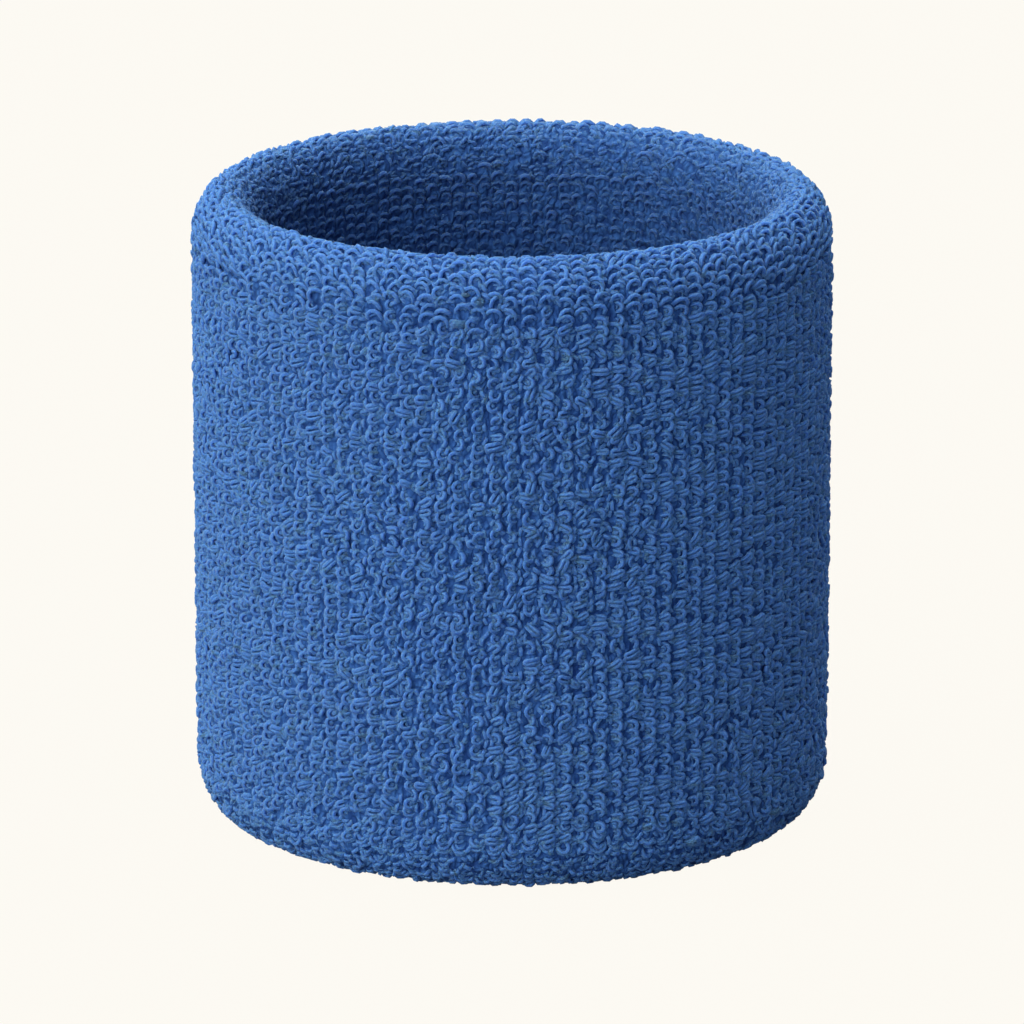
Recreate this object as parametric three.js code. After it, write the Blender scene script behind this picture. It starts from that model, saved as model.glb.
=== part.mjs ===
// A knitted terry sweat wristband, in millimetres, with +Z along the axis of the bore.
// The origin is the centre of the ring on which the lower rim stands.
//
// The band is one knitted tube, made twice as long as the band is high and folded in on
// itself, so that its loops show on the outer wall, over both rims and down the bore. The
// two ground fabrics lie back to back inside the wall. Between them run the elastic yarns,
// and the tube's two raw ends meet at a linked seam in the bore.
import * as THREE from 'three';

// ---------------------------------------------------------------- driving dimensions

const BAND_HEIGHT = 64;
const BORE_DIAMETER = 50; // relaxed, between the loop tips

const PILE_HEIGHT = 1.9; // the loops, from the ground fabric to their tips
const GROUND_THICKNESS = 0.7; // the flat knit that the loops stand on
const ELASTIC_DIAMETER = 0.4; // one covered rubber yarn

const FOLD_RISE = 2.1; // how far the hollow of each fold reaches past the straight wall
const RIM_REST_WIDTH = 1.2; // the flat ring along each rim's crest

const SEAM_HEIGHT = 32;
const SEAM_THREAD_DIAMETER = 0.6;
const SEAM_ALLOWANCE_LENGTH = 4; // each raw end, turned into the wall
const SEAM_ALLOWANCE_THICKNESS = 0.4; // the ground fabric, pressed flat

const ELASTIC_YARNS = 4; // laid in side by side
const ELASTIC_SPACING = 8; // between neighbouring turns

const LAYER_CLEARANCE = 0.2; // between layers, and between the stretches of one layer

// ---------------------------------------------------------------- facets

const RING_FACETS = 36;
const RIM_QUARTER_STEPS = 4;
const ELASTIC_STEPS_PER_TURN = 40;
const ELASTIC_CURVE_SEGMENTS = 2; // four sides
const SEAM_THREAD_SIDES = 6;

// ---------------------------------------------------------------- derived dimensions

// Two lanes run down the core: the outer one holds elastic yarn, and the inner one holds
// elastic yarn or, beside the seam, a turned-in raw end.
const INNER_LANE = Math.max(ELASTIC_DIAMETER, SEAM_ALLOWANCE_THICKNESS);
const CORE_THICKNESS = ELASTIC_DIAMETER + INNER_LANE + 3 * LAYER_CLEARANCE;

// How deep each surface lies below the loop tips.
const GROUND_DEPTH = PILE_HEIGHT + LAYER_CLEARANCE;
const CORE_DEPTH = GROUND_DEPTH + GROUND_THICKNESS;

const WALL_THICKNESS = CORE_THICKNESS + 2 * CORE_DEPTH;
const BORE_RADIUS = BORE_DIAMETER / 2;
const MIDDLE_RADIUS = BORE_RADIUS + WALL_THICKNESS / 2;
const RIM_RISE = FOLD_RISE + CORE_DEPTH;
const FOLD_HEIGHT = BAND_HEIGHT - RIM_RISE; // where the upper rim starts to curve over

// Where a yarn's middle runs, from the middle of the core and above the straight wall.
const ELASTIC_OFFSET = CORE_THICKNESS / 2 - LAYER_CLEARANCE - ELASTIC_DIAMETER / 2;
const ELASTIC_RISE = FOLD_RISE - LAYER_CLEARANCE - ELASTIC_DIAMETER / 2;

const SEAM_HALF_GAP = SEAM_THREAD_DIAMETER / 2 + LAYER_CLEARANCE;

// ---------------------------------------------------------------- geometry

// A ring round the Z axis. The section lists [radius, height] corners, anticlockwise when
// the axis is on the left.
function ring(section) {
  const outline = section.map(([radius, height]) => new THREE.Vector2(radius, height));
  outline.push(outline[0].clone());
  const geometry = new THREE.LatheGeometry(outline, RING_FACETS);
  geometry.rotateX(Math.PI / 2);
  return geometry;
}

// A straight stretch of a layer, between two radii and two heights.
function sleeve(innerRadius, thickness, bottom, top) {
  const outerRadius = innerRadius + thickness;
  return ring([
    [innerRadius, bottom],
    [outerRadius, bottom],
    [outerRadius, top],
    [innerRadius, top],
  ]);
}

// The upper rim's curve at one depth below the loop tips, from the outer wall over the
// crest to the bore: a quarter ellipse on each side of the flat crest.
function rimCurve(depth) {
  const half = WALL_THICKNESS / 2 - depth;
  const flat = (RIM_REST_WIDTH * half) / WALL_THICKNESS;
  const rise = RIM_RISE - depth;
  const curve = [];
  for (const side of [1, -1]) {
    for (let i = 0; i <= RIM_QUARTER_STEPS; i++) {
      const step = side > 0 ? i : RIM_QUARTER_STEPS - i;
      const angle = (Math.PI / 2) * (step / RIM_QUARTER_STEPS);
      const across = flat + (half - flat) * Math.cos(angle);
      curve.push([MIDDLE_RADIUS + side * across, FOLD_HEIGHT + rise * Math.sin(angle)]);
    }
  }
  return curve;
}

// The stretch of a layer that goes over the upper rim.
function rim(depth, thickness) {
  return ring([...rimCurve(depth), ...rimCurve(depth + thickness).reverse()]);
}

// The line that an elastic yarn follows down the core, as [radius, height]: from the seam
// up the inner lane, over the upper fold, down the outer lane, and under the lower fold
// back to the seam.
function elasticMeridian() {
  const outer = MIDDLE_RADIUS + ELASTIC_OFFSET;
  const inner = MIDDLE_RADIUS - ELASTIC_OFFSET;
  const endGap = SEAM_HALF_GAP + SEAM_ALLOWANCE_LENGTH + LAYER_CLEARANCE;
  const line = new THREE.Path();
  line.moveTo(inner, SEAM_HEIGHT + endGap);
  line.lineTo(inner, FOLD_HEIGHT);
  line.absellipse(
    MIDDLE_RADIUS, FOLD_HEIGHT, ELASTIC_OFFSET, ELASTIC_RISE, Math.PI, 0, true, 0,
  );
  line.lineTo(outer, RIM_RISE);
  line.absellipse(
    MIDDLE_RADIUS, RIM_RISE, ELASTIC_OFFSET, ELASTIC_RISE, 0, -Math.PI, true, 0,
  );
  line.lineTo(inner, SEAM_HEIGHT - endGap);
  return line;
}

// A curve that winds round the Z axis as it follows a meridian line.
class Winding extends THREE.Curve {
  constructor(meridian, turns, startAngle) {
    super();
    this.meridian = meridian;
    this.turns = turns;
    this.startAngle = startAngle;
  }

  getPoint(share, target = new THREE.Vector3()) {
    const { x: radius, y: height } = this.meridian.getPointAt(share);
    const angle = this.startAngle + 2 * Math.PI * this.turns * share;
    return target.set(radius * Math.cos(angle), radius * Math.sin(angle), height);
  }
}

// One of the elastic yarns, which start evenly round the band.
function elasticYarn(index) {
  const meridian = elasticMeridian();
  const turns = meridian.getLength() / (ELASTIC_SPACING * ELASTIC_YARNS);
  const path = new Winding(meridian, turns, (2 * Math.PI * index) / ELASTIC_YARNS);
  const section = new THREE.Shape();
  section.absarc(0, 0, ELASTIC_DIAMETER / 2, 0, 2 * Math.PI, false);
  return new THREE.ExtrudeGeometry(section, {
    extrudePath: path,
    steps: Math.ceil(turns * ELASTIC_STEPS_PER_TURN),
    curveSegments: ELASTIC_CURVE_SEGMENTS,
  });
}

// The chain of thread between the two raw ends, in line with the ground fabric.
function seamThread() {
  const radius = BORE_RADIUS + GROUND_DEPTH + GROUND_THICKNESS / 2;
  const geometry = new THREE.TorusGeometry(
    radius, SEAM_THREAD_DIAMETER / 2, SEAM_THREAD_SIDES, RING_FACETS,
  );
  geometry.translate(0, 0, SEAM_HEIGHT);
  return geometry;
}

// ---------------------------------------------------------------- materials

const cottonLoops = { color: 0x416eb4, roughness: 1, metalness: 0 };
const groundYarn = { color: 0x2c5091, roughness: 0.9, metalness: 0 };
const coveredRubber = { color: 0xd9d5c8, roughness: 0.6, metalness: 0 };
const seamYarn = { color: 0x365f9f, roughness: 0.8, metalness: 0 };

// ---------------------------------------------------------------- assembly

function piece(name, geometry, finish) {
  const mesh = new THREE.Mesh(geometry, new THREE.MeshStandardMaterial(finish));
  mesh.name = name;
  return mesh;
}

// A piece made like the one over the upper rim, turned over onto the lower rim.
function turnedOver(mesh) {
  mesh.rotation.x = Math.PI;
  mesh.position.z = BAND_HEIGHT;
  return mesh;
}

// The straight walls stop one clearance short of the rims and of the seam thread.
const wallBottom = RIM_RISE + LAYER_CLEARANCE;
const wallTop = FOLD_HEIGHT - LAYER_CLEARANCE;
const upperEnd = SEAM_HEIGHT + SEAM_HALF_GAP;
const lowerEnd = SEAM_HEIGHT - SEAM_HALF_GAP;

// One layer of the folded tube, at one depth below the loop tips: the outer wall, the two
// rims, and the bore's wall above and below the seam.
function layer(name, rimName, depth, thickness, finish) {
  const inBore = BORE_RADIUS + depth;
  const outside = BORE_RADIUS + WALL_THICKNESS - depth - thickness;
  const group = new THREE.Group();
  group.add(
    piece(`${name}_outer_wall`, sleeve(outside, thickness, wallBottom, wallTop), finish),
    piece(`${name}_upper_${rimName}`, rim(depth, thickness), finish),
    turnedOver(piece(`${name}_lower_${rimName}`, rim(depth, thickness), finish)),
    piece(`${name}_inner_wall_upper`, sleeve(inBore, thickness, upperEnd, wallTop), finish),
    piece(`${name}_inner_wall_lower`, sleeve(inBore, thickness, wallBottom, lowerEnd), finish),
  );
  return group;
}

function core() {
  const group = new THREE.Group();
  for (let i = 0; i < ELASTIC_YARNS; i++) {
    group.add(piece(`elastic_yarn_${i + 1}`, elasticYarn(i), coveredRubber));
  }
  const radius = BORE_RADIUS + CORE_DEPTH + LAYER_CLEARANCE;
  const length = SEAM_ALLOWANCE_LENGTH;
  const thickness = SEAM_ALLOWANCE_THICKNESS;
  const upper = sleeve(radius, thickness, upperEnd, upperEnd + length);
  const lower = sleeve(radius, thickness, lowerEnd - length, lowerEnd);
  group.add(
    piece('seam_allowance_upper', upper, groundYarn),
    piece('seam_allowance_lower', lower, groundYarn),
    piece('linking_seam_thread', seamThread(), seamYarn),
  );
  return group;
}

const wristband = new THREE.Group();
wristband.add(
  layer('terry_pile', 'rim', 0, PILE_HEIGHT, cottonLoops),
  layer('ground_knit', 'fold', GROUND_DEPTH, GROUND_THICKNESS, groundYarn),
  core(),
);

export default wristband;
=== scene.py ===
"""A knitted terry sweat wristband: cotton loops on a folded knitted tube.

The loops are real geometry, made course by course along the tube: from the seam in the
bore over the upper rim, down the outer wall, under the lower rim and back to the seam.
Sizes come from the CAD nodes, in metres.
"""

import math

import bpy
import numpy as np
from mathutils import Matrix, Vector


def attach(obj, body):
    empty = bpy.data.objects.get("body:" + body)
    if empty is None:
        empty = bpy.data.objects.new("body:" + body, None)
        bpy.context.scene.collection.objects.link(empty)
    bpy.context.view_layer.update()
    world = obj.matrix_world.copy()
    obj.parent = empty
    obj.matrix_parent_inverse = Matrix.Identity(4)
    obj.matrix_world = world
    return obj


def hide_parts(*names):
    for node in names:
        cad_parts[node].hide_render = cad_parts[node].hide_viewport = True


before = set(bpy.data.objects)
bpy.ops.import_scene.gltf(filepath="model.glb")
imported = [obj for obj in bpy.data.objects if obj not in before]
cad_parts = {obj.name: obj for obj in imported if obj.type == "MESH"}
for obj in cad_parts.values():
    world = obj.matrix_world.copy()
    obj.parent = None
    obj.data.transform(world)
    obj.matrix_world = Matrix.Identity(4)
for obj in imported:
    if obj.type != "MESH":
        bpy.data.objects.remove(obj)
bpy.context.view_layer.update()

MM = 0.001
TURN = 2 * math.pi
SPREAD_LIMIT = 2.2  # a random spread ends at this many standard deviations
rng = np.random.default_rng(1107)

# ------------------------------------------------------------------ sizes from the frame


def shell(node):
    """A round node's inner radius, outer radius, bottom and top."""
    co = np.array([v.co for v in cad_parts[node].data.vertices])
    reach = np.hypot(co[:, 0], co[:, 1])
    return reach.min(), reach.max(), co[:, 2].min(), co[:, 2].max()


OUTER_RADIUS = shell("terry_pile_outer_wall")[1]
BORE_RADIUS = shell("terry_pile_inner_wall_upper")[0]
GROUND_DEPTH = OUTER_RADIUS - shell("ground_knit_outer_wall")[1]
CORE_DEPTH = OUTER_RADIUS - shell("ground_knit_outer_wall")[0]
WALL = OUTER_RADIUS - BORE_RADIUS
MIDDLE_RADIUS = (OUTER_RADIUS + BORE_RADIUS) / 2
HEIGHT = shell("terry_pile_upper_rim")[3]
UPPER_FOLD = shell("terry_pile_upper_rim")[2]
RIM_RISE = HEIGHT - UPPER_FOLD
LOWER_FOLD = RIM_RISE
SEAM_BOTTOM, SEAM_TOP = shell("linking_seam_thread")[2:]
SEAM_HEIGHT = (SEAM_BOTTOM + SEAM_TOP) / 2
ALLOWANCE_INNER, ALLOWANCE_OUTER, _, ALLOWANCE_TOP = shell("seam_allowance_upper")

# ------------------------------------------------------------------ the folded tube

WALES = 116  # columns of stitches round the band
COURSE_PITCH = 1.02 * MM  # between rows of stitches
ROOT_DEPTH = GROUND_DEPTH + 0.15 * MM  # the loops' feet stand inside the ground knit
STRETCHES = 5  # upper bore wall, upper rim, outer wall, lower rim, lower bore wall


def place(station, depth):
    """(radius, height) on the folded tube, at a depth below the loop tips. A station's
    whole part counts the stretches from the seam, and its fraction runs along one."""
    stretch = np.clip(np.floor(station), 0, STRETCHES - 1).astype(int)
    along = station - stretch
    across, rise = WALL / 2 - depth, RIM_RISE - depth
    over, under = math.pi * (1 - along), -math.pi * along
    drop = UPPER_FOLD - LOWER_FOLD
    radius = np.choose(stretch, [
        BORE_RADIUS + depth + 0 * along,
        MIDDLE_RADIUS + across * np.cos(over),
        OUTER_RADIUS - depth + 0 * along,
        MIDDLE_RADIUS + across * np.cos(under),
        BORE_RADIUS + depth + 0 * along,
    ])
    height = np.choose(stretch, [
        SEAM_HEIGHT + along * (UPPER_FOLD - SEAM_HEIGHT),
        UPPER_FOLD + rise * np.sin(over),
        UPPER_FOLD - along * drop,
        LOWER_FOLD + rise * np.sin(under),
        LOWER_FOLD + along * (SEAM_HEIGHT - LOWER_FOLD),
    ])
    return radius, height


def stations_by_length(depth, margin, count=None, pitch=None):
    """Stations evenly spaced along the tube at one depth, clear of the seam by a margin."""
    fine = np.linspace(0, STRETCHES, 6001)
    radius, height = place(fine, depth)
    length = np.concatenate([[0], np.cumsum(np.hypot(np.diff(radius), np.diff(height)))])
    if count is None:
        count = int(round((length[-1] - 2 * margin) / pitch)) + 1
    return np.interp(np.linspace(margin, length[-1] - margin, count), length, fine)


# ------------------------------------------------------------------ meshes

FLOOR_GAP = 0.02 * MM  # no yarn comes nearer to the floor
YARN_SIDES = 4
FIRST_CORNER = 0.4  # radians from the flat direction to a yarn's first corner

# Each yarn's cell of a square map: its skin's size, and its two ends' radii and middles.
CELL_EDGE = 0.04
SKIN_WIDTH, SKIN_HEIGHT = 0.92, 0.80
END_RADII = 0.04, 0.05
END_MIDDLES = (0.25, 0.92), (0.75, 0.92)


def unit(v):
    return v / np.maximum(np.linalg.norm(v, axis=-1, keepdims=True), 1e-12)


def mesh_object(name, points, faces, material):
    """An object from points and arrays of faces. Each array has its own number of corners
    to a face."""
    corners = np.concatenate([f.ravel() for f in faces])
    sizes = np.concatenate([np.full(len(f), f.shape[1]) for f in faces])
    starts = np.concatenate([[0], np.cumsum(sizes)[:-1]])
    mesh = bpy.data.meshes.new(name)
    mesh.vertices.add(len(points))
    mesh.vertices.foreach_set("co", points.astype(np.float32).ravel())
    mesh.loops.add(len(corners))
    mesh.loops.foreach_set("vertex_index", corners.astype(np.int32))
    mesh.polygons.add(len(sizes))
    mesh.polygons.foreach_set("loop_start", starts.astype(np.int32))
    mesh.polygons.foreach_set("use_smooth", np.full(len(sizes), True))
    mesh.update(calc_edges=True)
    mesh.materials.append(material)
    made = bpy.data.objects.new(name, mesh)
    bpy.context.scene.collection.objects.link(made)
    return made


def point_attribute(made, name, values):
    layer = made.data.attributes.new(name, "FLOAT", "POINT")
    layer.data.foreach_set("value", values.astype(np.float32).ravel())


def corner_map(made, name, uv):
    layer = made.data.uv_layers.new(name=name)
    layer.uv.foreach_set("vector", uv.astype(np.float32).ravel())


def tube_faces(count, steps, sides, closed=False):
    """Quads, and the end caps, of many tubes laid one after another."""
    first = (np.arange(count) * steps * sides)[:, None, None]
    last = steps if closed else steps - 1
    i, j = np.meshgrid(np.arange(last), np.arange(sides), indexing="ij")
    a, b = i * sides + j, i * sides + (j + 1) % sides
    c, d = (b + sides) % (steps * sides), (a + sides) % (steps * sides)
    quads = (np.stack([a, b, c, d], -1)[None] + first[..., None]).reshape(-1, 4)
    if closed:
        return [quads]
    starts = first[:, :, 0] + np.arange(sides)[::-1]
    ends = first[:, :, 0] + (steps - 1) * sides + np.arange(sides)
    return [quads, starts, ends]


def cell_map(count, steps, sides):
    """Each yarn's cell of a square map, as (u, v) at each corner of its quads and ends."""
    columns = math.ceil(math.sqrt(count / 2))
    lines = math.ceil(count / columns)
    i, j = np.meshgrid(np.arange(steps - 1), np.arange(sides), indexing="ij")
    u = np.stack([i, i, i + 1, i + 1], -1) / (steps - 1)
    v = np.stack([j, j + 1, j + 1, j], -1) / sides
    quads = np.stack([CELL_EDGE + SKIN_WIDTH * u, CELL_EDGE + SKIN_HEIGHT * v], -1)
    turn = np.arange(sides) * TURN / sides
    ring = np.stack([END_RADII[0] * np.cos(turn), END_RADII[1] * np.sin(turn)], -1)
    parts = [quads.reshape(-1, 2), ring[::-1] + END_MIDDLES[0], ring + END_MIDDLES[1]]
    corner = np.stack([np.arange(count) % columns, np.arange(count) // columns], 1)[:, None]
    cells = [((part[None] + corner) / (columns, lines)).reshape(-1, 2) for part in parts]
    return np.concatenate(cells)


def yarn_map(run, steps, sides):
    """Millimetres along the yarn, and turns round it, for the corners of every quad and
    end."""
    before, after = run[:, :-1, None], run[:, 1:, None]
    turn = np.arange(sides) / sides
    side = np.ones((1, 1, sides))
    u = np.stack([before * side, before * side, after * side, after * side], -1)
    v = np.stack([turn, turn + 1 / sides, turn + 1 / sides, turn], -1)[None, None] + 0 * u
    quads = np.stack([u, v], -1).reshape(-1, 2)
    ends = [np.stack([r + 0 * turn[None], turn[None] + 0 * r], -1).reshape(-1, 2)
            for r in (run[:, :1], run[:, -1:])]
    return np.concatenate([quads, *ends])


def yarns(name, line, flat, thick, material):
    """Many yarns as one mesh, from their middle lines, a direction across each line and
    their radii."""
    count, steps = line.shape[:2]
    ahead = unit(np.gradient(line, axis=1))
    flat = unit(flat - (flat * ahead).sum(-1, keepdims=True) * ahead)
    lift = np.cross(ahead, flat)
    around = np.arange(YARN_SIDES) * TURN / YARN_SIDES + FIRST_CORNER
    thick = thick[:, None, None]
    skin = (line[:, :, None] + (thick * np.cos(around))[..., None] * flat[:, :, None]
            + (thick * np.sin(around))[..., None] * lift[:, :, None])
    skin[..., 2] = np.maximum(skin[..., 2], FLOOR_GAP)
    faces = tube_faces(count, steps, YARN_SIDES)
    made = mesh_object(name, skin.reshape(-1, 3), faces, material)
    step = np.linalg.norm(np.diff(line, axis=1), axis=-1) / MM
    run = np.concatenate([np.zeros((count, 1)), np.cumsum(step, 1)], 1)
    run = run + rng.uniform(0, 1, (count, 1))
    corner_map(made, "OFBake", cell_map(count, steps, YARN_SIDES))
    corner_map(made, "yarn", yarn_map(run, steps, YARN_SIDES))
    return made


def shade_by(made, steps, tone, rise):
    """What the yarn's material reads: one tone for each yarn, and each point's height."""
    whole = np.ones((1, steps, YARN_SIDES))
    point_attribute(made, "tone", tone[:, None, None] * whole)
    point_attribute(made, "rise", rise[..., None] * whole)


# ------------------------------------------------------------------ how the loops lie

FOLD_BLEND_FROM, FOLD_BLEND = 1.2, 4.4  # mm before the fold line, and in all

# The lie drifts round the band and along it. Each wave has its strength, its turns round
# the band, its radians to the centimetre along it, and its phase.
DRIFT_WAVES = (1.0, 3, 0.8, 0.6), (0.7, 5, -1.3, 2.1), (0.5, 2, 2.2, 0.0)
ORDER_BY_DRIFT, ORDER_BY_SIDE = 0.8, 1.6
BEND_BY_DRIFT, BEND_BY_SIDE = 0.3, 1.3

WALL_TURN, ORDERED_TURN = 94, 14  # degrees between a wall's hairpin and the courses
WALL_BEND = math.radians(64)


def smooth_step(value):
    value = np.clip(value, 0, 1)
    return value * value * (3 - 2 * value)


def flow(angle, height):
    """How the loops lie at a place: the share that lie as on a wall and not as on a rim,
    how neatly they lie, how they turn on a wall, how far they bend over and which way, and
    how surely they all bend that way. All but the first drift round and along the band."""
    front = angle + math.pi / 2
    inside = np.minimum(UPPER_FOLD - height, height - LOWER_FOLD)
    wall = smooth_step((inside / MM + FOLD_BLEND_FROM) / FOLD_BLEND)
    centimetres = height / MM / 10
    drift = sum(strength * np.sin(turns * front + climb * centimetres + phase)
                for strength, turns, climb, phase in DRIFT_WAVES)
    away = np.sin(2 * front)
    order = 0.5 + 0.5 * np.tanh(ORDER_BY_DRIFT * drift + ORDER_BY_SIDE * away)
    turned = np.radians(WALL_TURN + ORDERED_TURN * order)
    side = (BEND_BY_SIDE * away + BEND_BY_DRIFT * drift).clip(-1, 1)
    return wall, order, turned, -WALL_BEND * np.sign(side), np.abs(side)


def knit_frame(angle, station, depth):
    """Where stitches stand, the directions away from the fabric, round it and along it, and
    how far the loop tips are."""
    foot_radius, foot_height = place(station, depth)
    tip_radius, tip_height = place(station, 0)
    away = unit(np.stack([tip_radius - foot_radius, tip_height - foot_height], 1))
    reach = np.hypot(tip_radius - foot_radius, tip_height - foot_height)
    cos, sin = np.cos(angle), np.sin(angle)
    normal = np.stack([away[:, 0] * cos, away[:, 0] * sin, away[:, 1]], 1)
    round_it = np.stack([-sin, cos, 0 * cos], 1)
    foot = np.stack([foot_radius * cos, foot_radius * sin, foot_height], 1)
    return foot, normal, round_it, np.cross(normal, round_it), reach


# ------------------------------------------------------------------ terry loops

# Several ends of thin cotton yarn run side by side through a stitch, so a loop is a set of
# hairpins, one inside the other. A hairpin stands on its two legs, bends over, and closes
# in a round head. Its middle stays over its own stitch, because its neighbours hold it
# there. On the outer wall hairpins lie over sideways: the wide ones as crescents, and the
# narrow ones arched over so far that their heads dip. On the rims and in the bore they
# stand across the wales and lean toward the crest.
YARN_RADIUS = 0.235 * MM
END_SPACING = 0.45 * MM
NARROW_LOOP, WIDE_LOOP = 0.46 * MM, 0.92 * MM  # between a hairpin's legs, on the outer wall
RIM_LOOP, BORE_LOOP = 1.42 * MM, 0.90 * MM
LEAST_WIDTH = 0.9 * YARN_RADIUS

LEG_SHARES = np.array([0.0, 0.34, 0.60, 0.84])  # the points of a leg, up to its head
ROOT_SHARE = 0.62  # how far apart the legs stand at the root, of their spread at the head
HEAD_SHARE = 0.6  # a head is no longer than this share of its hairpin
BEND_FROM, BEND_TO = 0.28, 0.92  # a hairpin bends over between these shares of its length
MIDDLE_SHARE = 0.76  # the point of a hairpin that stays over its stitch
LEAST_BEND, MOST_BEND = math.radians(3), math.radians(115)
CREST_LEAN = math.radians(66)

WIDE_SHARE, WIDE_MORE = 0.50, 0.28  # the share of wide loops, and more that bend left
ARCH_MORE, ARCH_SPREAD = 1.2, 0.5  # how much further a narrow loop bends
RIM_NESTING = 0.6  # on a rim the ends lie partly beside each other
UNDERNEATH = 0.36 * MM  # how far the second end sinks below a narrow loop
UNDER_WALES, UNDER_COURSES = 0.46, 0.5  # how far it stands from the first
INNER_SINK = 0.08 * MM  # and how far it sinks inside a wide loop

# How the loops stray
WALE_SPREAD, STEADY = 0.12, 1.15  # in wales, less in the neat parts
COURSE_SPREAD = 0.16  # in courses
WALL_LOOSE, ORDER_HOLDS, SIDE_HOLDS = 30, 12, 8  # degrees of turn, less what holds them
RIM_LOOSE, FOLD_LOOSE = 23, 7  # degrees of turn on a rim, and more near a wall
FLIP_SHARE = 0.42  # how many bend the other way, where the lie is least sure
END_TURN, UNDER_TURN, BEND_SPREAD = math.radians(7), math.radians(24), math.radians(6)
WIDTH_SPREAD, NEST_SPREAD, CURL_SPREAD, THICK_SPREAD = 0.12, 0.18, 0.22, 0.07
LOOP_SINK, END_SINK = 0.10, 0.05  # mm
LOOP_TONE, END_TONE = 0.7, 0.3


def hairpin(width, length, head_steps):
    """Each hairpin laid flat, as (across, along): a leg, a round head and the other leg."""
    half = width[:, None] / 2
    head = np.minimum(half, HEAD_SHARE * length[:, None])
    turn = np.linspace(0, math.pi, head_steps)
    spread = half * (ROOT_SHARE + (1 - ROOT_SHARE) * LEG_SHARES)
    climb = (length[:, None] - head) * LEG_SHARES
    top = length[:, None] - head * (1 - np.sin(turn))
    across = np.concatenate([-spread, -half * np.cos(turn), spread[:, ::-1]], 1)
    return across, np.concatenate([climb, top, climb[:, ::-1]], 1)


def bent_over(share, bend):
    """(aside, up, tilt) along a hairpin of length 1, as it rises, bends and runs on."""
    tilt = bend * ((share - BEND_FROM) / (BEND_TO - BEND_FROM)).clip(0, 1)
    radius = (BEND_TO - BEND_FROM) / bend
    before, after = share.clip(None, BEND_FROM), (share - BEND_TO).clip(0, None)
    aside = radius * (1 - np.cos(tilt)) + after * np.sin(tilt)
    return aside, before + radius * np.sin(tilt) + after * np.cos(tilt), tilt


def crown(bend):
    """The share of a hairpin's length at which it is highest."""
    upright = np.minimum(1, math.radians(90) / np.abs(bend))
    return np.where(upright < 1, BEND_FROM + (BEND_TO - BEND_FROM) * upright, 1)


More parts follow.
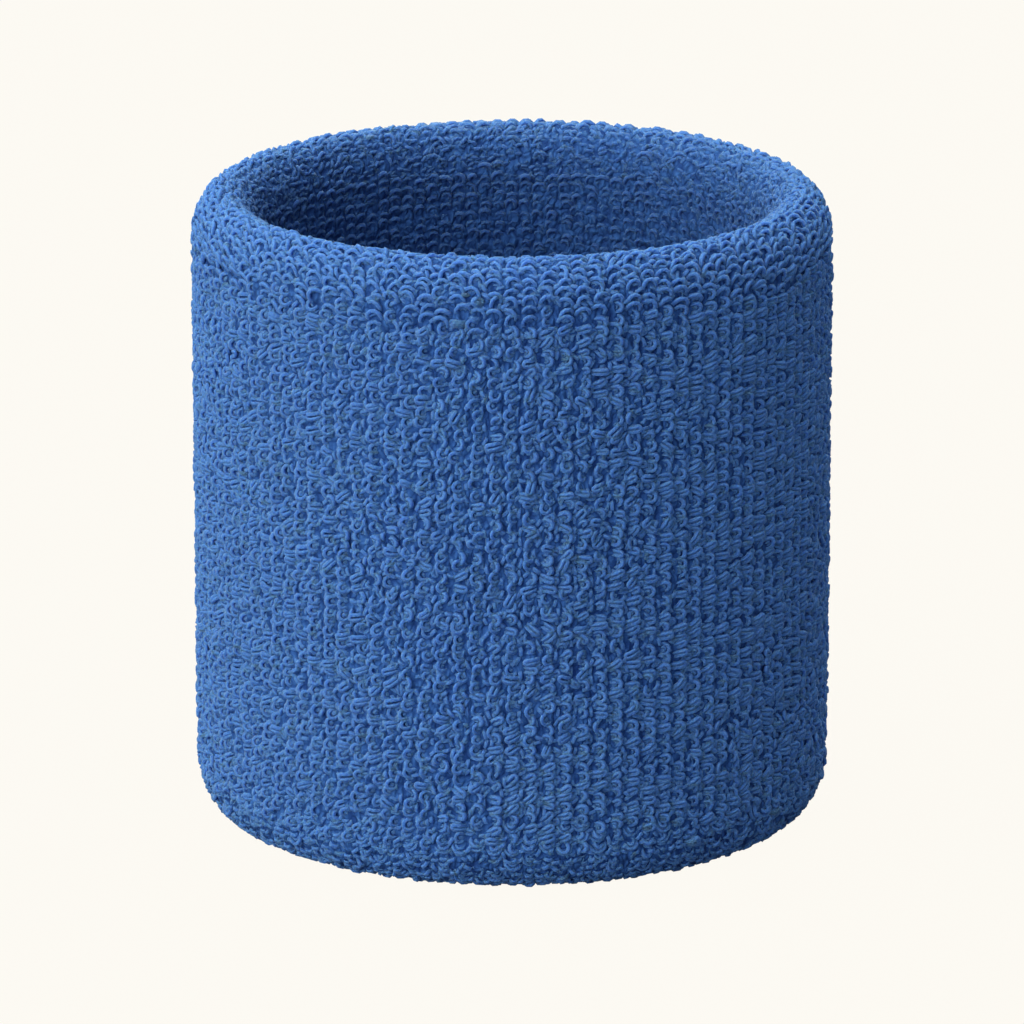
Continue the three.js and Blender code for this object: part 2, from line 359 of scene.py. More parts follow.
def terry_courses(name, stations, material, ends, head_steps):
    """The loops of some courses, as one piece."""
    loops = len(stations) * WALES
    count = ends * loops
    both = np.tile(np.arange(loops), ends)
    end = np.repeat(np.arange(ends), loops)

    def of_loop(size):
        """A spread that all of a loop's ends share."""
        limit = SPREAD_LIMIT * size
        return rng.normal(0, size, loops).clip(-limit, limit)[both]

    def of_end(size):
        limit = SPREAD_LIMIT * size
        return rng.normal(0, size, count).clip(-limit, limit)

    def chance():
        return rng.uniform(0, 1, loops)[both]

    # which kind of loop each one is, and where it stands
    wale = np.tile(np.arange(WALES), len(stations))[both]
    row = np.repeat(stations, WALES)[both]
    pick = chance()
    wall, order, _, bend, _ = flow(wale * TURN / WALES, place(row, 0)[1])
    wide = chance() < WIDE_SHARE + WIDE_MORE * (bend > 0)
    under = (pick < wall) & ~wide & (end > 0)
    wale_shift = of_loop(WALE_SPREAD) * (STEADY - order) + np.where(under, UNDER_WALES, 0)
    angle = (wale + wale_shift) * TURN / WALES
    course_shift = of_loop(COURSE_SPREAD) + np.where(under, UNDER_COURSES, 0)
    station = row + course_shift * np.gradient(stations).mean()
    foot, normal, round_it, along_it, reach = knit_frame(angle, station, ROOT_DEPTH)
    from_middle = np.hypot(foot[:, 0], foot[:, 1]) - MIDDLE_RADIUS
    side = (from_middle / (WALL / 2 - ROOT_DEPTH)).clip(-1, 1)  # 1 outside, -1 in the bore

    # which way each one turns and bends
    wall, order, turned, bend, sure = flow(angle, foot[:, 2])
    on_wall = pick < wall
    sideways = on_wall & (side > 0)
    loose_on_wall = WALL_LOOSE - ORDER_HOLDS * order - SIDE_HOLDS * sure
    loose = np.radians(np.where(on_wall, loose_on_wall, RIM_LOOSE + FOLD_LOOSE * wall))
    bend = np.where(chance() < FLIP_SHARE * (1 - sure), -bend, bend)
    turned = np.where(sideways, turned, 0) + of_loop(1.0) * loose + of_end(END_TURN)
    turned = turned + np.where(under, of_end(UNDER_TURN), 0)
    toward_crest = np.where(foot[:, 2] > HEIGHT / 2, 1, -1) * side * CREST_LEAN
    bend = np.where(wide, bend, bend * (ARCH_MORE + ARCH_SPREAD * chance()))
    bend = np.where(sideways, bend, toward_crest) + of_loop(BEND_SPREAD)
    bend = np.where(bend < 0, -1, 1) * np.abs(bend).clip(LEAST_BEND, MOST_BEND)

    # how big each one is, and how its ends nest
    width = np.where(wide, WIDE_LOOP, NARROW_LOOP)
    width = np.where(on_wall, np.where(side > 0, width, BORE_LOOP), RIM_LOOP)
    width = width * (1 + of_loop(WIDTH_SPREAD))
    nesting = (np.where(on_wall, 1.0, RIM_NESTING) + of_loop(NEST_SPREAD)).clip(0, 1)
    nested = math.pi / 2 * nesting
    stacked = np.where(on_wall, 0, END_SPACING * np.cos(nested))
    sunk = np.abs(of_loop(LOOP_SINK)) * MM + np.abs(of_end(END_SINK)) * MM
    sunk = sunk + np.where(under, UNDERNEATH, 0)
    sunk = sunk + stacked * (ends - 1) / 2 * np.abs(np.sin(bend))
    sunk = sunk + np.where(sideways & wide & (end > 0), INNER_SINK, 0)
    length = (reach - sunk - YARN_RADIUS) / bent_over(crown(bend), bend)[1]
    inward = np.where(under, 0, END_SPACING * np.sin(nested) * end)
    beside = stacked * (end - (ends - 1) / 2)
    width = (width - 2 * inward).clip(LEAST_WIDTH, None)
    across, along = hairpin(width, length - inward, head_steps)

    # the yarns' middle lines
    aside, rise, tilt = bent_over(along / length[:, None], bend[:, None])
    middle = bent_over(np.full(count, MIDDLE_SHARE), bend)[0]
    over = length[:, None] * (aside - middle[:, None]) + beside[:, None] * np.cos(tilt)
    up = length[:, None] * rise - beside[:, None] * np.sin(tilt)
    curl = of_end(CURL_SPREAD)[:, None] * along / length[:, None]
    heading = (turned[:, None] + curl)[..., None]
    cos, sin = np.cos(heading), np.sin(heading)
    bar = cos * round_it[:, None] + sin * along_it[:, None]
    across_bar = cos * along_it[:, None] - sin * round_it[:, None]
    line = (foot[:, None] + across[..., None] * bar + over[..., None] * across_bar
            + up[..., None] * normal[:, None])
    flat = np.cos(tilt)[..., None] * across_bar - np.sin(tilt)[..., None] * normal[:, None]
    thick = YARN_RADIUS * (1 + of_end(THICK_SPREAD))
    made = yarns(name, line, flat, thick, material)
    tone = LOOP_TONE * chance() + END_TONE * rng.uniform(0, 1, count)
    shade_by(made, line.shape[1], tone, up / reach[:, None])
    return made


# ------------------------------------------------------------------ low loops

LOW_LAYERS = 2
LOW_SINK = 0.24 * MM  # how far the low loops lie below the others
LOW_RADIUS = 0.23 * MM
LOW_WIDTH = 1.2 * MM
LOW_STEPS = 6
LOW_ROUNDNESS = 0.6  # the power that fills out an arch's shoulders
LOW_SPREADS = 0.12, 0.18, 0.14, 0.06  # in wales, in courses, of the width and of the radius
LOW_TURN = math.radians(34)
LOW_RISE_SPREAD, LOW_LEAN = 0.12, 0.2  # mm
SECOND_WALE, SECOND_TURN = 0.08, 0.3  # the second layer's place in its wale, and its turn


def low_loops(name, stations, material):
    """The lowest loops of some courses, which fill the gaps between the wales, and in a
    second layer the gaps between the courses. Only their arched tops show."""
    count = LOW_LAYERS * len(stations) * WALES
    layer = np.repeat(np.arange(LOW_LAYERS), len(stations) * WALES)
    wale_spread, course_spread, width_spread, radius_spread = LOW_SPREADS

    def spread(size):
        limit = SPREAD_LIMIT * size
        return rng.normal(0, size, count).clip(-limit, limit)

    wale = np.tile(np.arange(WALES), LOW_LAYERS * len(stations))
    wale = wale + np.where(layer, SECOND_WALE, 0.5)
    angle = (wale + spread(wale_spread)) * TURN / WALES
    pitch = np.gradient(stations).mean()
    row = np.tile(np.repeat(stations, WALES), LOW_LAYERS)
    station = row + (0.5 + spread(course_spread)) * pitch
    station = station.clip(None, stations.max() + pitch)
    foot, normal, round_it, along_it, reach = knit_frame(angle, station, ROOT_DEPTH)
    wall = flow(angle, foot[:, 2])[0]
    turned = math.radians(90) * wall * np.where(layer, SECOND_TURN, 1) + spread(LOW_TURN)
    height = reach - LOW_RADIUS - LOW_SINK - np.abs(spread(LOW_RISE_SPREAD)) * MM
    turn = np.linspace(0, math.pi, LOW_STEPS)
    across = -LOW_WIDTH / 2 * (1 + spread(width_spread))[:, None] * np.cos(turn)[None]
    up = height[:, None] * np.sin(turn) ** LOW_ROUNDNESS
    lean = spread(LOW_LEAN)[:, None] * MM * (up / height[:, None]) ** 2
    bar = np.cos(turned)[:, None] * round_it + np.sin(turned)[:, None] * along_it
    across_bar = np.cross(normal, bar)
    line = (foot[:, None] + across[..., None] * bar[:, None]
            + lean[..., None] * across_bar[:, None] + up[..., None] * normal[:, None])
    flat = across_bar[:, None] + 0 * line
    made = yarns(name, line, flat, LOW_RADIUS * (1 + spread(radius_spread)), material)
    shade_by(made, LOW_STEPS, rng.uniform(0, 1, count), up / reach[:, None])
    return made


# ------------------------------------------------------------------ the mat of legs

MAT_DEPTH, BORE_MAT_DEPTH = 0.70 * MM, 0.38 * MM  # below the loop tips
MAT_MARGIN = 0.6 * MM  # from the seam
MAT_BACK = 0.1 * MM  # how far its back stands off the ground knit
MAT_RELIEF = 0.12 * MM
MAT_ROUND = 2 * WALES
MAT_ALONG = 200
MAT_BUMP, MAT_BUMP_LIMIT = 0.5, 1.6
WALE_RIDGE, WALE_VALLEY = 1, -0.6
BORE_BLEND, BORE_BLEND_FROM = 1.6, 1.2  # how the mat rises toward the bore, by station


def revolve(name, radius, height, material):
    """A closed ring from its outlines, one (radius, height) profile for each angle, and the
    numbers (i, j) of its quads along a profile and round the ring."""
    lines, turns = radius.shape
    angle = np.arange(turns) * TURN / turns
    points = np.stack([radius * np.cos(angle), radius * np.sin(angle), height], -1)
    i, j = np.meshgrid(np.arange(lines), np.arange(turns), indexing="ij")
    down, right = (i + 1) % lines, (j + 1) % turns
    corners = [i * turns + j, i * turns + right, down * turns + right, down * turns + j]
    faces = np.stack(corners, -1).reshape(-1, 4)
    return mesh_object(name, points.reshape(-1, 3), [faces], material), i, j


def pile_mat(name, material):
    """The lower part of the pile, where the loops' legs crowd together into a mat. Its face
    rises under every wale."""
    stations = stations_by_length(MAT_DEPTH, MAT_MARGIN, count=MAT_ALONG)
    from_wall = np.abs(stations - STRETCHES / 2)
    in_bore = smooth_step(BORE_BLEND * (from_wall - BORE_BLEND_FROM))[:, None]
    bumps = rng.normal(0, MAT_BUMP, (MAT_ALONG, MAT_ROUND))
    bumps = bumps + np.roll(bumps, 1, 0) + 0.5 * np.roll(bumps, 1, 1)
    bumps += np.where(np.arange(MAT_ROUND) % 2 == 0, WALE_RIDGE, WALE_VALLEY)
    depth = MAT_DEPTH + (BORE_MAT_DEPTH - MAT_DEPTH) * in_bore
    depth = depth - MAT_RELIEF * bumps.clip(-MAT_BUMP_LIMIT, MAT_BUMP_LIMIT)
    station = stations[:, None] + 0 * depth
    radius, height = place(station, depth)
    back_radius, back_height = place(station[::-1], GROUND_DEPTH - MAT_BACK + 0 * depth)
    made, i, j = revolve(name, np.concatenate([radius, back_radius]),
                         np.concatenate([height, back_height]), material)
    u = np.stack([j, j + 1, j + 1, j], -1) / MAT_ROUND
    v = np.stack([i, i, i + 1, i + 1], -1) / (2 * MAT_ALONG)
    corner_map(made, "OFBake", np.stack([u, v], -1).reshape(-1, 2))
    return made


# ------------------------------------------------------------------ ground knit

GROUND_ROUND = 174  # corners round the band
GROUND_ALONG = 150
RAW_POINTS = 5  # along each raw end
FOLD_POINTS = 7  # round the fold where a raw end turns in
SEAM_GAP = 0.1 * MM  # between the seam thread and each fold
FOLD_GAP = 0.4 * MM  # between a fold and the first even course


def ribbon_path():
    """The ground knit's middle line as (radius, height), from one raw end to the other."""
    middle_depth = (GROUND_DEPTH + CORE_DEPTH) / 2
    gap = SEAM_TOP - SEAM_HEIGHT + SEAM_GAP
    wall_radius = BORE_RADIUS + middle_depth
    raw_radius = (ALLOWANCE_INNER + ALLOWANCE_OUTER) / 2
    fold_radius = (raw_radius - wall_radius) / 2
    turn = np.linspace(0, math.pi, FOLD_POINTS)
    raw = np.linspace(ALLOWANCE_TOP, SEAM_HEIGHT + gap + fold_radius, RAW_POINTS + 1)[:-1]
    lift = np.concatenate([raw, SEAM_HEIGHT + gap + fold_radius * (1 - np.sin(turn))])
    reach = np.concatenate([0 * raw + raw_radius,
                            (raw_radius + wall_radius) / 2 + fold_radius * np.cos(turn)])
    margin = gap + fold_radius + FOLD_GAP
    stations = stations_by_length(middle_depth, margin, count=GROUND_ALONG)
    radius, height = place(stations, middle_depth)
    below = 2 * SEAM_HEIGHT - lift
    return (np.concatenate([reach, radius, reach[::-1]]),
            np.concatenate([lift, height, below[::-1]]))


def ground_knit(name, material):
    """The folded ground knit, as one closed shell that is thinner where its raw ends are
    turned in, and the length of its middle line."""
    radius, height = ribbon_path()
    full, thin = (CORE_DEPTH - GROUND_DEPTH) / 2, (ALLOWANCE_OUTER - ALLOWANCE_INNER) / 2
    half = np.full(len(radius), full)
    turned_in = np.linspace(thin, full, FOLD_POINTS)
    raw_end = np.concatenate([np.full(RAW_POINTS, thin), turned_in])
    half[:len(raw_end)], half[len(half) - len(raw_end):] = raw_end, raw_end[::-1]
    ahead = unit(np.stack([np.gradient(radius), np.gradient(height)], 1))
    out = np.stack([-ahead[:, 1], ahead[:, 0]], 1) * half[:, None]
    middle = np.stack([radius, height], 1)
    outline = np.concatenate([middle + out, (middle - out)[::-1]])
    whole = np.ones(GROUND_ROUND)
    made, i, j = revolve(name, outline[:, :1] * whole, outline[:, 1:] * whole, material)
    length = np.concatenate([[0], np.cumsum(np.hypot(np.diff(radius), np.diff(height)))])
    course = np.concatenate([length, length[::-1]]) / COURSE_PITCH
    course = np.append(course, course[0])
    wale = np.arange(GROUND_ROUND + 1) * WALES / GROUND_ROUND
    wales = np.stack([wale[j], wale[j + 1], wale[j + 1], wale[j]], -1)
    courses = np.stack([course[i], course[i], course[i + 1], course[i + 1]], -1)
    knit = np.stack([wales, courses], -1).reshape(-1, 2)
    on_back = (i.reshape(-1, 1) >= len(radius)).repeat(4, 1).reshape(-1, 1)
    corner_map(made, "OFBake", knit / (WALES, 2 * course.max()) + on_back * (0, 0.5))
    corner_map(made, "knit", knit)
    return made, length[-1]


# ------------------------------------------------------------------ seam

SEAM_STITCHES = 116
STITCH_STEPS = 12
SEAM_THREAD_RADIUS = 0.17 * MM
SEAM_SIDES = 6
SEAM_OUT = 0.25 * MM  # the chain stands out of the wall, toward the bore
SEAM_DEPTH, SEAM_SWING, SEAM_BACK = 0.16 * MM, 0.42 * MM, 0.32  # of each stitch's loop


def seam_chain(name, material):
    """The linking seam: a chain of thread that loops through itself at every stitch."""
    steps = SEAM_STITCHES * STITCH_STEPS
    t = np.arange(steps) / STITCH_STEPS
    middle = (ALLOWANCE_INNER + BORE_RADIUS) / 2 - SEAM_OUT
    radius = middle + SEAM_DEPTH * np.cos(2 * TURN * t)
    angle = (t - SEAM_BACK * np.sin(TURN * t)) * TURN / SEAM_STITCHES
    height = SEAM_HEIGHT + SEAM_SWING * np.cos(TURN * t)
    line = np.stack([radius * np.cos(angle), radius * np.sin(angle), height], 1)
    ahead = unit(np.roll(line, -1, 0) - np.roll(line, 1, 0))
    out = np.stack([np.cos(angle), np.sin(angle), 0 * angle], 1)
    flat = unit(out - (out * ahead).sum(-1, keepdims=True) * ahead)
    lift = np.cross(ahead, flat)
    around = (np.arange(SEAM_SIDES) * TURN / SEAM_SIDES)[:, None]
    skin = line[:, None] + SEAM_THREAD_RADIUS * (
        np.cos(around) * flat[:, None] + np.sin(around) * lift[:, None])
    faces = tube_faces(1, steps, SEAM_SIDES, closed=True)
    return mesh_object(name, skin.reshape(-1, 3), faces, material)


# ------------------------------------------------------------------ materials

FIBRE_SCALE = 8500.0  # fibres, to the metre
PATCH_SCALE = 90.0
WARP_SCALE = 700.0
STROKES = 1700.0, 1700.0, 1100.0  # the mat's strokes to the metre, level and upright
PLY_PITCH = 0.9  # mm of yarn to one turn of its plies
FADED, PLY_CREASE_SHADE = 0.25, 0.22  # how much the faded patches and the painted shade in the grooves between the plies show
SPECK_FROM, SPECKS = 0.42, 1.6  # the noise at which pale fibres start, and their strength
WARP = 2.2  # how far the noise moves the strokes, in strokes
STROKE_SHADING, FIBRE_TONE, TONE_FROM = 1.1, 0.5, 0.45  # what makes the mat's yarns paler: painted shade that darkens each stroke toward its seams, and pale fibres
BORE_PAINTED_SHADE, BORE_MAT_PAINTED_SHADE = 0.58, 0.20  # painted shade: how far the loops and the mat are darkened toward a deep blue in the bore


class Nodes:
    """A short way to write a material's nodes."""

    def __init__(self, name):
        self.material = bpy.data.materials.new(name)
        self.material.use_nodes = True
        self.tree = self.material.node_tree
        self.shader = self.tree.nodes["Principled BSDF"]

    def add(self, kind, **settings):
        node = self.tree.nodes.new("ShaderNode" + kind)
        for key, value in settings.items():
            if key in node.inputs:
                node.inputs[key].default_value = value
            else:
                setattr(node, key, value)
        return node

    def link(self, source, target):
        self.tree.links.new(source, target)

    def set(self, **values):
        """Constants on the shader, with a socket's spaces written as underscores."""
        for key, value in values.items():
            self.shader.inputs[key.replace("_", " ")].default_value = value

    def attribute(self, name):
        return self.add("Attribute", attribute_name=name).outputs["Fac"]

    def place(self):
        return self.add("TexCoord").outputs["Object"]

    def noise(self, place_of, scale, detail, output=0):
        node = self.add("TexNoise", Scale=scale, Detail=detail)
        self.link(place_of, node.inputs["Vector"])
        return node.outputs[output]

    def apart(self, vector):
        node = self.add("SeparateXYZ")
        self.link(vector, node.inputs[0])
        return node.outputs

    def math(self, operation, a, b=0.0):
        node = self.add("Math", operation=operation)
        for socket, value in zip(node.inputs, (a, b)):
            if isinstance(value, (int, float)):
                socket.default_value = value
            else:
                self.link(value, socket)
        return node.outputs[0]

    def mix(self, factor, a, b):
        node = self.add("Mix", data_type="RGBA")
        for index, value in ((0, factor), (6, a), (7, b)):
            socket = node.inputs[index]
            if isinstance(value, (int, float, tuple)):
                socket.default_value = value
            else:
                self.link(value, socket)
        return node.outputs[2]

    def outward(self, place_of):
        """0 at the bore's surface, and 1 from the middle of the wall outwards: the mask of
        the bore's painted shade.
        """
        apart = self.apart(place_of)
        squares = [self.math("MULTIPLY", apart[i], apart[i]) for i in (0, 1)]
        reach = self.math("SQRT", self.math("ADD", *squares))
        share = self.add("MapRange")
        share.inputs["From Min"].default_value = BORE_RADIUS
        share.inputs["From Max"].default_value = MIDDLE_RADIUS
        self.link(reach, share.inputs["Value"])
        return share.outputs[0]

    def colour(self, value):
        self.link(value, self.shader.inputs["Base Color"])

    def bump(self, height, strength, distance):
        node = self.add("Bump", Strength=strength, Distance=distance)
        self.link(height, node.inputs["Height"])
        self.link(node.outputs[0], self.shader.inputs["Normal"])


def srgb(red, green, blue):
    """A colour from 8-bit sRGB values."""
    values = [c / 255 for c in (red, green, blue)]
    linear = [c / 12.92 if c <= 0.04045 else ((c + 0.055) / 1.055) ** 2.4 for c in values]
    return (*linear, 1.0)


# The deep blue toward which the bore is darkened, as painted shade.
BORE_SHADE_COLOUR = srgb(20, 46, 96)


def terry_material():
    """Plied cotton: painted shade in the grooves between the plies, pale fibres, faded
    patches, and painted shade that darkens it in the bore.
    """
    m = Nodes("terry_cotton")
    tone = m.attribute("tone")
    rise = m.attribute("rise")
    base = m.mix(tone, srgb(62, 106, 174), srgb(75, 122, 192))
    root = m.mix(rise, srgb(64, 110, 178), base)
    place_of = m.place()
    patch = m.noise(place_of, PATCH_SCALE, 3.0)
    worn = m.mix(m.math("MULTIPLY", patch, FADED), root, srgb(92, 147, 206))
    along, turned = m.apart(m.add("UVMap", uv_map="yarn").outputs[0])[:2]
    turns = m.math("ADD", m.math("DIVIDE", along, PLY_PITCH), turned)
    ply = m.math("ABSOLUTE", m.math("SINE", m.math("MULTIPLY", turns, TURN)))
    # painted shade in the grooves between the plies
    between = m.math("MULTIPLY", m.math("SUBTRACT", 1.0, ply), PLY_CREASE_SHADE)
    ply_shaded = m.mix(between, worn, srgb(36, 78, 148))
    fibre = m.noise(place_of, FIBRE_SCALE, 2.0)
    speck = m.math("MULTIPLY", m.math("SUBTRACT", fibre, SPECK_FROM), SPECKS)
    outer_colour = m.mix(speck, ply_shaded, srgb(100, 151, 208))
    # painted shade: the loops are painted darker in the bore, fading out toward the middle
    # of the wall
    bore_shaded = m.mix(BORE_PAINTED_SHADE, outer_colour, BORE_SHADE_COLOUR)
    m.colour(m.mix(m.outward(place_of), bore_shaded, outer_colour))
    m.bump(m.math("ADD", ply, m.math("MULTIPLY", fibre, 0.8)), 0.7, 0.05 * MM)
    m.set(Roughness=0.82, Specular_IOR_Level=0.14, Subsurface_Weight=0.75,
          Subsurface_Radius=(0.4, 0.6, 1.0), Subsurface_Scale=0.9 * MM,
          Sheen_Weight=0.10, Sheen_Roughness=0.45, Sheen_Tint=srgb(160, 192, 242))
    return m.material


def mat_material():
    """Crowded yarns: short plump strokes with painted shade in the seams between them, and
    painted shade that darkens them in the bore.
    """
    m = Nodes("terry_legs")
    place_of = m.place()
    warp = m.noise(place_of, WARP_SCALE, 2.0, output="Color")
    stretched = m.add("Mapping", Scale=STROKES)
    m.link(place_of, stretched.inputs["Vector"])
    moved = m.add("VectorMath", operation="MULTIPLY_ADD")
    m.link(warp, moved.inputs[0])
    moved.inputs[1].default_value = (WARP, WARP, WARP)
    m.link(stretched.outputs[0], moved.inputs[2])
    grain = m.add("TexVoronoi", Scale=1.0)
    m.link(moved.outputs[0], grain.inputs["Vector"])
    plump = m.math("SUBTRACT", 1.0, grain.outputs["Distance"])
    fibre = m.noise(place_of, FIBRE_SCALE, 2.0)
    tone = m.math("ADD", m.math("MULTIPLY", plump, STROKE_SHADING),
                  m.math("MULTIPLY", fibre, FIBRE_TONE))
    tone = m.math("SUBTRACT", tone, TONE_FROM)
    # painted shade: the strokes are darker toward their seams and paler in their plump
    # middles
    outer_colour = m.mix(tone, srgb(26, 64, 126), srgb(64, 118, 190))
    # painted shade: the mat is painted darker in the bore, fading out toward the middle of
    # the wall
    bore_shaded = m.mix(BORE_MAT_PAINTED_SHADE, outer_colour, BORE_SHADE_COLOUR)
    m.colour(m.mix(m.outward(place_of), bore_shaded, outer_colour))
    m.bump(plump, 1.0, 0.5 * MM)
    m.set(Roughness=0.9, Specular_IOR_Level=0.2)
    return m.material


def ground_material():
    """Jersey: a V for every stitch, in wales that sink between each other, with painted
    shade where they sink.
    """
    m = Nodes("ground_knit")
    wale, course = m.apart(m.add("UVMap", uv_map="knit").outputs[0])[:2]
    off_centre = m.math("ABSOLUTE", m.math("SUBTRACT", m.math("FRACT", wale), 0.5))
    slanted = m.math("ADD", course, m.math("MULTIPLY", off_centre, 1.2))
    wave = m.math("SINE", m.math("MULTIPLY", slanted, TURN))
    edge = m.math("SUBTRACT", 1.0, m.math("MULTIPLY", off_centre, 2.0))
    relief_and_shade = m.math("MULTIPLY", m.math("ADD", m.math("MULTIPLY", wave, 0.5), 0.5), edge)
    # painted shade: darker where the stitches sink, from the same relief as the bump
    m.colour(m.mix(relief_and_shade, srgb(28, 56, 112), srgb(54, 94, 162)))
    m.bump(relief_and_shade, 0.9, 0.2 * MM)
    m.set(Roughness=0.88, Specular_IOR_Level=0.2)
    return m.material


def plain_yarn_material(name, colour, dark, scale, roughness):
    m = Nodes(name)
    grain = m.noise(m.place(), scale, 3.0)
    m.colour(m.mix(grain, dark, colour))
    m.bump(grain, 0.6, 0.08 * MM)
    m.set(Roughness=roughness)
    return m.material


TERRY = terry_material()
MAT = mat_material()
GROUND = ground_material()
SEAM = plain_yarn_material(
    "seam_thread", srgb(72, 116, 188), srgb(42, 78, 148), scale=4200.0, roughness=0.7)
ELASTIC = plain_yarn_material(
    "covered_rubber", srgb(222, 218, 205), srgb(178, 172, 156),
    scale=5200.0, roughness=0.55)

# ------------------------------------------------------------------ camera

VIEW_ELEVATION = math.radians(15.93)
VIEW_DISTANCE = 11.928 * 2 * OUTER_RADIUS
CAMERA_LENS = 267.8
CAMERA_SENSOR = 36.0
AIM_BELOW_MIDDLE = 1.93 * MM
CLIP_FROM, CLIP_TO = 0.01, 20


def make_camera():
    camera = bpy.data.objects.new("camera", bpy.data.cameras.new("camera"))
    bpy.context.scene.collection.objects.link(camera)
    camera.data.lens = CAMERA_LENS
    camera.data.sensor_width = CAMERA_SENSOR
    camera.data.clip_start, camera.data.clip_end = CLIP_FROM, CLIP_TO
    middle = HEIGHT / 2
    camera.location = (
        0,
        -VIEW_DISTANCE * math.cos(VIEW_ELEVATION),
        middle + VIEW_DISTANCE * math.sin(VIEW_ELEVATION),
    )
    aim = Vector((0, 0, middle - AIM_BELOW_MIDDLE))
    camera.rotation_euler = (aim - camera.location).to_track_quat("-Z", "Y").to_euler()
    bpy.context.scene.camera = camera


# ------------------------------------------------------------------ stage

PAPER = srgb(253, 250, 243)
PAPER_GLOW = 1.02
SHADOW_SHARE = 0.03  # how much of the shadows the paper shows
FLOOR_SIDE = 12
SKY, SKY_STRENGTH = (0.86, 0.96, 1.16, 1), 0.168
LIGHT_DISTANCE = 1.1
WARM, NEUTRAL, COOL = (1.0, 0.96, 0.86), (1.0, 0.98, 0.92), (1.02, 0.98, 1.03)


def make_floor():
    """Pale paper that shows its own colour, with only a hint of the shadows on it."""
    m = Nodes("pale_paper")
    glow = m.add("Emission", Color=PAPER, Strength=PAPER_GLOW)
    matt = m.add("BsdfDiffuse", Color=srgb(110, 118, 132))
    faint = m.add("MixShader")
    faint.inputs[0].default_value = SHADOW_SHARE
    m.link(glow.outputs[0], faint.inputs[1])
    m.link(matt.outputs[0], faint.inputs[2])
    seen = m.add("LightPath").outputs["Is Camera Ray"]
    both = m.add("MixShader")
    m.link(seen, both.inputs[0])
    m.link(matt.outputs[0], both.inputs[1])
    m.link(faint.outputs[0], both.inputs[2])
    m.link(both.outputs[0], m.tree.nodes["Material Output"].inputs["Surface"])
    bpy.ops.mesh.primitive_plane_add(size=FLOOR_SIDE, location=(0, 0, 0))
    floor = bpy.context.object
    floor.name = "floor"
    floor.data.materials.append(m.material)


def make_world():
    """Dim bluish light from all round, behind a backdrop of the same pale paper."""
    world = bpy.data.worlds.new("studio")
    bpy.context.scene.world = world
    world.use_nodes = True
    tree = world.node_tree
    soft = tree.nodes["Background"]
    soft.inputs["Color"].default_value = SKY
    soft.inputs["Strength"].default_value = SKY_STRENGTH
    paper = tree.nodes.new("ShaderNodeBackground")
    paper.inputs["Color"].default_value = PAPER
    mix = tree.nodes.new("ShaderNodeMixShader")
    path = tree.nodes.new("ShaderNodeLightPath")
    tree.links.new(path.outputs["Is Camera Ray"], mix.inputs[0])
    tree.links.new(soft.outputs[0], mix.inputs[1])
    tree.links.new(paper.outputs[0], mix.inputs[2])
    tree.links.new(mix.outputs[0], tree.nodes["World Output"].inputs["Surface"])


def area_light(name, azimuth, elevation, size, power, colour):
    """A square soft box aimed at the band. Azimuth 0 is in front, and 90 on the right."""
    light = bpy.data.lights.new(name, "AREA")
    light.size = size
    light.energy = power
    light.color = colour
    made = bpy.data.objects.new(name, light)
    bpy.context.scene.collection.objects.link(made)
    a, e = math.radians(azimuth), math.radians(elevation)
    away = Vector((math.sin(a) * math.cos(e), -math.cos(a) * math.cos(e), math.sin(e)))
    made.location = Vector((0, 0, HEIGHT / 2)) + LIGHT_DISTANCE * away
    made.rotation_euler = (-away).to_track_quat("-Z", "Y").to_euler()


# ------------------------------------------------------------------ the band

TIP_LEVEL = 0.3 * MM  # where the courses are evenly spaced
SEAM_MARGIN = 0.9 * MM
PIECE_TRIANGLES = 196000
LOW_FROM, LOW_TO = 0.85, 4.15  # the stations between which low loops show
LOW_PIECES = 5
OPEN_HEAD, BORE_HEAD = 6, 5  # steps round a hairpin's head

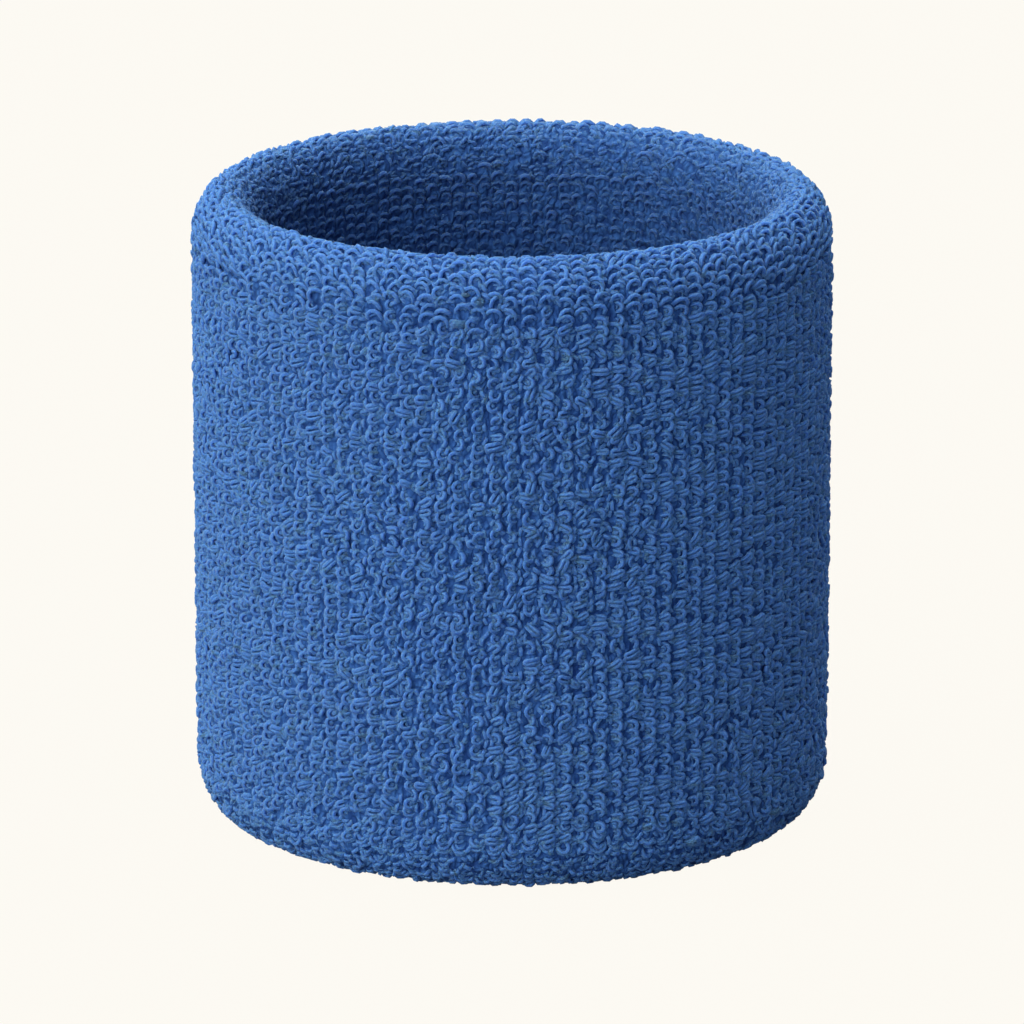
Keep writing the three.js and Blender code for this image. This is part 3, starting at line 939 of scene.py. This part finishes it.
# Each stretch's number, the ends in its loops, the steps round their heads, and the end of
# the name of the CAD node that it replaces.
TERRY_STRETCHES = {
    "upper_bore": (0, 1, BORE_HEAD, "inner_wall_upper"),
    "upper_rim": (1, 3, OPEN_HEAD, "upper_rim"),
    "outer_wall": (2, 2, OPEN_HEAD, "outer_wall"),
    "lower_rim": (3, 3, OPEN_HEAD, "lower_rim"),
    "lower_bore": (4, 1, BORE_HEAD, "inner_wall_lower"),
}


def pile_piece(made):
    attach(made, "root")
    return made


def terry_pile():
    """All the pile's pieces, each small enough to be saved whole."""
    rows = stations_by_length(TIP_LEVEL, SEAM_MARGIN, pitch=COURSE_PITCH)
    pieces = []
    for stretch, (first, ends, head_steps, node) in TERRY_STRETCHES.items():
        chosen = rows[(rows >= first) & (rows < first + 1)]
        points = 2 * len(LEG_SHARES) + head_steps
        most = int(PIECE_TRIANGLES / (WALES * ends * YARN_SIDES * 2 * points))
        parts = np.array_split(chosen, math.ceil(len(chosen) / most))
        for number, part in enumerate(parts):
            name = f"terry_{stretch}_{number + 1}"
            made = pile_piece(terry_courses(name, part, TERRY, ends, head_steps))
            pieces.append(made)
            if number == 0:
                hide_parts("terry_pile_" + node)
    open_rows = rows[(rows > LOW_FROM) & (rows < LOW_TO)]
    for number, part in enumerate(np.array_split(open_rows, LOW_PIECES)):
        pieces.append(pile_piece(low_loops(f"terry_low_{number + 1}", part, TERRY)))
    pieces.append(pile_piece(pile_mat("terry_leg_mat", MAT)))
    return pieces


make_camera()
make_floor()
make_world()
area_light("key", -64, 28, 1.0, 10.1, WARM)
area_light("top", 184, 84, 1.2, 13.6, NEUTRAL)
area_light("fill", -20, 22, 0.9, 5.6, COOL)

pieces = terry_pile()

ground, ground_length = ground_knit("ground_knit_tube", GROUND)
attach(ground, "root")
ground_names = "ground_knit_", "seam_allowance_"
ground_nodes = [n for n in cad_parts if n.startswith(ground_names)]
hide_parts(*ground_nodes)

seam = seam_chain("linking_seam_chain", SEAM)
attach(seam, "root")
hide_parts("linking_seam_thread")

for name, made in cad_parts.items():
    if name.startswith("elastic"):
        made.data.materials.clear()
        made.data.materials.append(ELASTIC)

bpy.context.scene.view_settings.view_transform = "Standard"
